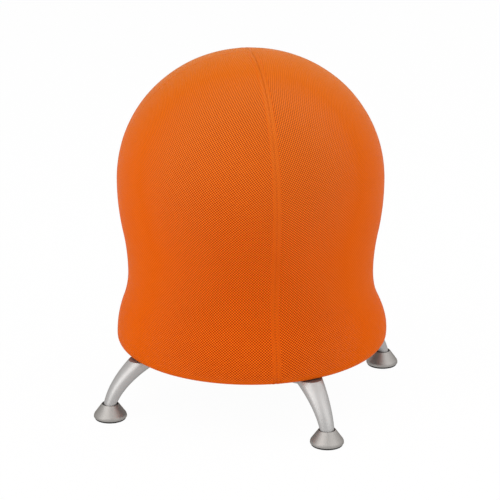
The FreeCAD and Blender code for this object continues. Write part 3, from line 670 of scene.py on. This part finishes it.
def turned_group():
    """Fine level rings that a lathe or a spinning mop leaves on a turned piece."""
    group, given, result = new_group(
        "turned_rings", [("Rings Scale", "NodeSocketFloat", 2600.0)],
        [("Rings", "NodeSocketFloat")])
    place = node(group, "ShaderNodeSeparateXYZ", {0: own_space(group)}).outputs
    height = node(group, "ShaderNodeCombineXYZ", {2: place[2]}).outputs[0]
    rings = speckle(group, given["Rings Scale"], 3.0, 0.6, space=height)
    group.links.new(rings, result.inputs["Rings"])
    return group


KNIT = knit_group()
WEAR = wear_group()
GRAIN = grain_group()
DUST = dust_group()
TURNED = turned_group()


def new_material(name, **values):
    """A material with its shader set to plain values."""
    material = bpy.data.materials.new(name)
    material.use_nodes = True
    tree = material.node_tree
    shader = tree.nodes["Principled BSDF"]
    for label, value in values.items():
        shader.inputs[label.replace("_", " ").title().replace("Ior", "IOR")].default_value = value
    return material, tree, shader


def bump(tree, shader, height, depth, strength=1.0):
    """Raise the surface by a height mask, over a depth in metres."""
    made = node(tree, "ShaderNodeBump", {"Height": height, "Distance": depth,
                                         "Strength": strength})
    tree.links.new(made.outputs[0], shader.inputs["Normal"])


def knitted_mesh(name):
    """Orange knitted mesh of the cover, with painted light and shade: a painted sheen makes it
    paler toward the crown, and painted shade darkens its eyes, the grooves of its seams, the sides
    where it turns away and a thin rim at its outline; the pressed bands along its seams are darker
    in tone."""
    material, tree, shader = new_material(name, sheen_roughness=0.45)
    # a dark orange: painted shade in the knit's eyes and on the sides that turn away, and the
    # darker tone of the pressed seam bands
    deep = (0.27, 0.012, 0.0006, 1)
    shader.inputs["Specular Tint"].default_value = (0.95, 0.76, 0.22, 1)
    shader.inputs["Sheen Tint"].default_value = (0.65, 0.75, 0.20, 1)
    cloth = node(tree, "ShaderNodeAttribute", attribute_name="cloth").outputs["Vector"]
    knit = placed(tree, KNIT, {"Cloth": cloth, "Eye Size": 0.85})
    place = node(tree, "ShaderNodeSeparateXYZ", {0: cloth}).outputs
    along, seam = place[1], place[2]
    single = ramp(tree, seam, 5.6 * MM, 6.8 * MM, 0.45, 1.0)
    facing = node(tree, "ShaderNodeLayerWeight", {"Blend": 0.5}).outputs["Facing"]
    open_eye = ramp(tree, facing, 0.06, 0.55, 1.0, 0.3)
    eye = maths(tree, "MULTIPLY", maths(tree, "MULTIPLY", knit["Eye"], single), open_eye)
    band = ramp(tree, along, 0.08, 0.24, 0.08, 0.24)
    pressed = maths(tree, "MULTIPLY", ramp(tree, seam, 5.6 * MM, 7.2 * MM, 1.0, 0.0), band)
    shade = speckle(tree, 30.0, 3.0)
    base = mixed(tree, shade, (0.835, 0.115, 0.001, 1), (0.895, 0.132, 0.002, 1))
    # painted sheen: a paler, yellower orange toward the crown, standing in for gloss from the lamps
    # above
    painted_crown_sheen = ramp(tree, along, 0.08, 0.42, 0.9, 0.0)
    base = mixed(tree, painted_crown_sheen, base, (0.77, 0.150, 0.004, 1))
    base = mixed(tree, maths(tree, "MULTIPLY", knit["Yarn"], 0.3), base, (0.96, 0.23, 0.014, 1))
    # painted shade inside the knit's eyes, where the holes would show the shade within them
    base = mixed(tree, maths(tree, "MULTIPLY", eye, 0.97), base, deep)
    base = mixed(tree, pressed, base, deep)
    # painted shade in the groove of each topstitched seam, stronger near the crown
    upper = ramp(tree, along, 0.10, 0.20, 0.28, 0.08)
    painted_groove_shade = maths(tree, "MULTIPLY", ramp(tree, seam, 0.3 * MM, 1.3 * MM, 1.0, 0.0), upper)
    base = mixed(tree, painted_groove_shade, base, (0.25, 0.03, 0.004, 1))
    # painted shade on the sides, growing as the cloth turns away from view
    painted_side_shade = ramp(tree, facing, 0.06, 0.55, 0.0, 0.14)
    base = mixed(tree, painted_side_shade, base, deep)
    # painted shade: a thin dark rim where the cloth turns edge-on at its outline
    painted_rim_shade = ramp(tree, facing, 0.88, 1.0, 0.0, 0.45)
    base = mixed(tree, painted_rim_shade, base, (0.30, 0.05, 0.008, 1))
    tree.links.new(base, shader.inputs["Base Color"])
    gleam = ramp(tree, facing, 0.14, 0.45, 0.44, 0.02)
    gleam = maths(tree, "MULTIPLY", gleam, ramp(tree, along, 0.24, 0.44, 1.0, 0.35))
    tree.links.new(gleam, shader.inputs["Specular IOR Level"])
    fuzz = ramp(tree, along, 0.08, 0.30, 0.19, 0.06)
    tree.links.new(fuzz, shader.inputs["Sheen Weight"])
    rough = maths(tree, "MULTIPLY_ADD", eye, 0.25, 0.42)
    tree.links.new(rough, shader.inputs["Roughness"])
    bump(tree, shader, knit["Height"], 0.45 * MM, 0.6)
    return material


def sewing_thread(name):
    """Orange polyester thread, close to the mesh in colour."""
    material, tree, shader = new_material(name, roughness=0.5, specular_ior_level=0.2)
    shader.inputs["Specular Tint"].default_value = (1.0, 0.6, 0.2, 1)
    strands = placed(tree, GRAIN, {"Grain Scale": 3500.0, "Mottle Scale": 60.0})
    base = mixed(tree, strands["Mottle"], (0.76, 0.105, 0.003, 1), (0.90, 0.150, 0.008, 1))
    tree.links.new(base, shader.inputs["Base Color"])
    bump(tree, shader, strands["Grain"], 0.12 * MM)
    return material


def satin_vinyl(name):
    """Grey vinyl of the ball, satin, with a faint grain."""
    material, tree, shader = new_material(name, specular_ior_level=0.5)
    grain = placed(tree, GRAIN, {"Grain Scale": 1100.0, "Mottle Scale": 14.0})
    base = mixed(tree, grain["Mottle"], (0.20, 0.205, 0.215, 1), (0.27, 0.275, 0.285, 1))
    tree.links.new(base, shader.inputs["Base Color"])
    rough = maths(tree, "MULTIPLY_ADD", grain["Grain"], 0.15, 0.36)
    tree.links.new(rough, shader.inputs["Roughness"])
    bump(tree, shader, grain["Grain"], 0.10 * MM, 0.5)
    return material


def silver_coat(name):
    """Silver coating of the cast legs: fine metal flake, worn a little along the edges."""
    material, tree, shader = new_material(name, metallic=0.72, coat_weight=0.06,
                                          coat_roughness=0.3)
    shader.inputs["Specular Tint"].default_value = (0.30, 0.29, 0.28, 1)
    grain = placed(tree, GRAIN, {"Grain Scale": 1900.0, "Mottle Scale": 18.0})
    wear = placed(tree, WEAR, {"Radius": 0.8 * MM, "Patch Scale": 160.0})["Mask"]
    dust = placed(tree, DUST, {"Amount": 0.18})["Mask"]
    base = mixed(tree, grain["Mottle"], (0.365, 0.357, 0.35, 1), (0.425, 0.417, 0.41, 1))
    base = mixed(tree, maths(tree, "MULTIPLY", grain["Grain"], 0.25), base,
                 (0.54, 0.53, 0.52, 1))
    base = mixed(tree, maths(tree, "MULTIPLY", wear, 0.5), base, (0.56, 0.55, 0.53, 1))
    base = mixed(tree, dust, base, (0.40, 0.385, 0.36, 1))
    tree.links.new(base, shader.inputs["Base Color"])
    rough = maths(tree, "MULTIPLY_ADD", grain["Mottle"], 0.08, 0.36)
    rough = maths(tree, "ADD", rough, maths(tree, "MULTIPLY", dust, 0.4))
    tree.links.new(rough, shader.inputs["Roughness"])
    bump(tree, shader, grain["Grain"], 0.05 * MM, 0.35)
    return material


def satin_nickel(name, low=(0.30, 0.286, 0.272, 1), high=(0.36, 0.344, 0.328, 1), rough_base=0.43):
    """Nickel plate over a turned surface, with fine rings and worn edges."""
    material, tree, shader = new_material(name, metallic=1.0)
    shader.inputs["Specular Tint"].default_value = (0.32, 0.30, 0.28, 1)
    rings = placed(tree, TURNED, {"Rings Scale": 2600.0})["Rings"]
    wear = placed(tree, WEAR, {"Radius": 0.5 * MM, "Patch Scale": 260.0})["Mask"]
    mottle = placed(tree, GRAIN, {"Grain Scale": 2400.0, "Mottle Scale": 45.0})["Mottle"]
    base = mixed(tree, mottle, low, high)
    base = mixed(tree, maths(tree, "MULTIPLY", wear, 0.6), base, (0.52, 0.50, 0.475, 1))
    tree.links.new(base, shader.inputs["Base Color"])
    rough = maths(tree, "MULTIPLY_ADD", rings, 0.14, rough_base)
    tree.links.new(rough, shader.inputs["Roughness"])
    bump(tree, shader, rings, 0.04 * MM, 0.3)
    return material


def moulded_plastic(name, low, high, rough_base, dusty=0.25):
    """Moulded plastic with a spark-eroded grain, scuffed a little at its edges."""
    material, tree, shader = new_material(name, specular_ior_level=0.45)
    grain = placed(tree, GRAIN, {"Grain Scale": 1300.0, "Mottle Scale": 22.0})
    wear = placed(tree, WEAR, {"Radius": 0.7 * MM, "Patch Scale": 190.0})["Mask"]
    dust = placed(tree, DUST, {"Amount": dusty})["Mask"]
    base = mixed(tree, grain["Mottle"], low, high)
    pale = tuple(min(1.0, 0.5 * value + 0.12) for value in high[:3]) + (1,)
    base = mixed(tree, maths(tree, "MULTIPLY", wear, 0.45), base, pale)
    base = mixed(tree, dust, base, (0.42, 0.40, 0.37, 1))
    tree.links.new(base, shader.inputs["Base Color"])
    rough = maths(tree, "MULTIPLY_ADD", grain["Grain"], 0.22, rough_base)
    tree.links.new(rough, shader.inputs["Roughness"])
    bump(tree, shader, grain["Grain"], 0.12 * MM, 0.45)
    return material


def foot_rubber(name):
    """Dark rubber of the floor pads, scuffed where it meets the floor."""
    material, tree, shader = new_material(name, specular_ior_level=0.3)
    grain = placed(tree, GRAIN, {"Grain Scale": 1700.0, "Mottle Scale": 90.0})
    wear = placed(tree, WEAR, {"Radius": 0.6 * MM, "Patch Scale": 300.0})["Mask"]
    base = mixed(tree, grain["Mottle"], (0.012, 0.012, 0.012, 1), (0.028, 0.027, 0.026, 1))
    base = mixed(tree, maths(tree, "MULTIPLY", wear, 0.5), base, (0.09, 0.085, 0.08, 1))
    tree.links.new(base, shader.inputs["Base Color"])
    rough = maths(tree, "MULTIPLY_ADD", grain["Grain"], 0.15, 0.62)
    tree.links.new(rough, shader.inputs["Roughness"])
    bump(tree, shader, grain["Grain"], 0.10 * MM, 0.5)
    return material


def braided_elastic(name):
    """Pale elastic cord with a fine braid."""
    material, tree, shader = new_material(name, roughness=0.7, specular_ior_level=0.3)
    place = node(tree, "ShaderNodeSeparateXYZ", {0: own_space(tree)}).outputs
    turn = maths(tree, "ARCTAN2", place[1], place[0])
    braid = maths(tree, "SINE", maths(tree, "ADD", maths(tree, "MULTIPLY", turn, 900.0),
                                      maths(tree, "MULTIPLY", place[2], 2500.0)))
    braid = maths(tree, "MULTIPLY_ADD", braid, 0.5, 0.5)
    base = mixed(tree, braid, (0.35, 0.34, 0.32, 1), (0.62, 0.60, 0.57, 1))
    tree.links.new(base, shader.inputs["Base Color"])
    bump(tree, shader, braid, 0.15 * MM)
    return material


def dress_nodes():
    """Give each CAD piece that keeps its shape its own finish."""
    silver = silver_coat("silver_coated_casting")
    nickel = satin_nickel("satin_nickel_turning")
    zinc = satin_nickel("zinc_plated_steel", (0.46, 0.46, 0.45, 1), (0.60, 0.60, 0.58, 1), 0.28)
    brass = satin_nickel("knurled_brass", (0.60, 0.42, 0.16, 1), (0.74, 0.54, 0.22, 1), 0.25)
    rubber = foot_rubber("pad_rubber_black")
    dish = moulded_plastic("dish_moulding_black", (0.018, 0.018, 0.019, 1),
                           (0.035, 0.035, 0.037, 1), 0.38)
    plate = moulded_plastic("plate_moulding_black", (0.024, 0.024, 0.025, 1),
                            (0.045, 0.045, 0.047, 1), 0.46)
    valve = moulded_plastic("valve_moulding_white", (0.68, 0.67, 0.63, 1),
                            (0.78, 0.77, 0.73, 1), 0.32, 0.0)
    nylon = moulded_plastic("nylon_cup_natural", (0.60, 0.57, 0.50, 1),
                            (0.72, 0.69, 0.62, 1), 0.30, 0.0)
    elastic = braided_elastic("braided_elastic_cord")
    finishes = {"base_dish": dish, "bottom_plate": plate, "valve_seat": valve,
                "air_plug": valve, "hem_elastic": elastic, "leg_bolts": zinc,
                "leg_washers": zinc, "leg_inserts": brass}
    for side in LEG_SIDES:
        finishes["leg_" + side] = silver
        finishes["foot_cone_" + side] = nickel
        finishes["foot_pad_" + side] = rubber
        finishes["foot_stud_" + side] = zinc
        finishes["foot_socket_" + side] = nylon
    for name, material in finishes.items():
        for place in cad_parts[name].material_slots:
            place.material = material


# Studio

CAMERA_AZIMUTH = math.radians(17.12)
CAMERA_ELEVATION = math.radians(18.26)
CAMERA_DISTANCE = 3.485
CAMERA_TARGET = Vector((0, 0, 0.2485))
CAMERA_LENS = 152.0
CAMERA_SHIFT = -0.0011

LAMP_TARGET = Vector((0, 0, 0.3))
SURROUND_LIGHT = 0.58
FLOOR_HALF = 20.0
FLOOR_LEVEL = -0.1 * MM
FLOOR_GLOW = 0.972


def direction(azimuth, elevation):
    """A direction from the chair, by its turn from the front and its rise."""
    return Vector((math.sin(azimuth) * math.cos(elevation),
                   -math.cos(azimuth) * math.cos(elevation), math.sin(elevation)))


def make_camera():
    """The photo's camera."""
    data = bpy.data.cameras.new("camera")
    data.lens = CAMERA_LENS
    data.sensor_width = 36.0
    data.shift_x = CAMERA_SHIFT
    data.clip_start = 0.1
    data.clip_end = 100
    camera = bpy.data.objects.new("camera", data)
    bpy.context.scene.collection.objects.link(camera)
    back = direction(CAMERA_AZIMUTH, CAMERA_ELEVATION)
    camera.location = CAMERA_TARGET + back * CAMERA_DISTANCE
    camera.rotation_euler = (-back).to_track_quat("-Z", "Y").to_euler()
    bpy.context.scene.camera = camera


def make_lamp(name, azimuth, elevation, distance, width, power):
    """A square soft lamp that faces the chair, placed round from the camera."""
    data = bpy.data.lights.new(name, "AREA")
    data.shape = "SQUARE"
    data.size = width
    data.energy = power
    lamp = bpy.data.objects.new(name, data)
    bpy.context.scene.collection.objects.link(lamp)
    back = direction(CAMERA_AZIMUTH + math.radians(azimuth), math.radians(elevation))
    lamp.location = LAMP_TARGET + back * distance
    lamp.rotation_euler = (-back).to_track_quat("-Z", "Y").to_euler()


def seen_directly(tree):
    """1 for what the camera, a mirror or glass looks at, and 0 for plain light."""
    path = node(tree, "ShaderNodeLightPath").outputs
    seen = maths(tree, "MAXIMUM", path["Is Camera Ray"], path["Is Glossy Ray"])
    return maths(tree, "MAXIMUM", seen, path["Is Transmission Ray"])


def make_world():
    """An even white surround, which lights the chair softly."""
    world = bpy.data.worlds.new("studio")
    world.use_nodes = True
    bpy.context.scene.world = world
    tree = world.node_tree
    surround = tree.nodes["Background"]
    surround.inputs["Color"].default_value = (1, 1, 1, 1)
    strength = maths(tree, "MULTIPLY_ADD", seen_directly(tree), 1 - SURROUND_LIGHT,
                     SURROUND_LIGHT)
    tree.links.new(strength, surround.inputs["Strength"])


def make_floor():
    """A pale floor that renders white, keeps the chair's shadow and is clear from below."""
    mesh = bpy.data.meshes.new("studio_floor")
    sides = [(-1, -1), (1, -1), (1, 1), (-1, 1)]
    corners = [(x * FLOOR_HALF, y * FLOOR_HALF, FLOOR_LEVEL) for x, y in sides]
    mesh.from_pydata(corners, [], [(0, 1, 2, 3)])
    floor = bpy.data.objects.new("studio_floor", mesh)
    bpy.context.scene.collection.objects.link(floor)
    material = bpy.data.materials.new("studio_floor_white")
    material.use_nodes = True
    tree = material.node_tree
    tree.nodes.clear()
    paint = node(tree, "ShaderNodeBsdfDiffuse", {"Color": (0.92, 0.92, 0.92, 1)})
    glow = node(tree, "ShaderNodeEmission", {"Color": (1, 1, 1, 1), "Strength": 1.0})
    share = maths(tree, "MULTIPLY", seen_directly(tree), FLOOR_GLOW)
    both = node(tree, "ShaderNodeMixShader", {0: share, 1: paint.outputs[0],
                                              2: glow.outputs[0]})
    below = node(tree, "ShaderNodeNewGeometry").outputs["Backfacing"]
    clear = node(tree, "ShaderNodeBsdfTransparent")
    one_sided = node(tree, "ShaderNodeMixShader", {0: below, 1: both.outputs[0],
                                                   2: clear.outputs[0]})
    node(tree, "ShaderNodeOutputMaterial", {"Surface": one_sided.outputs[0]})
    mesh.materials.append(material)


def make_studio():
    """The camera, the lamps, the white surround and the floor."""
    bpy.context.scene.view_settings.view_transform = "Standard"
    make_camera()
    make_world()
    make_lamp("key_lamp", -42, 42, 3.2, 3.0, 42)
    make_lamp("side_lamp", -56, 8, 3.0, 1.7, 11)
    make_lamp("fill_lamp", 55, 30, 3.6, 3.4, 35)
    make_lamp("top_lamp", 0, 88, 3.0, 2.4, 12)
    make_lamp("rim_lamp", 125, 38, 3.2, 2.4, 16)
    make_floor()


make_studio()
make_cover(knitted_mesh("orange_knitted_mesh"), sewing_thread("orange_thread"))
make_ball(satin_vinyl("grey_vinyl"))
dress_nodes()
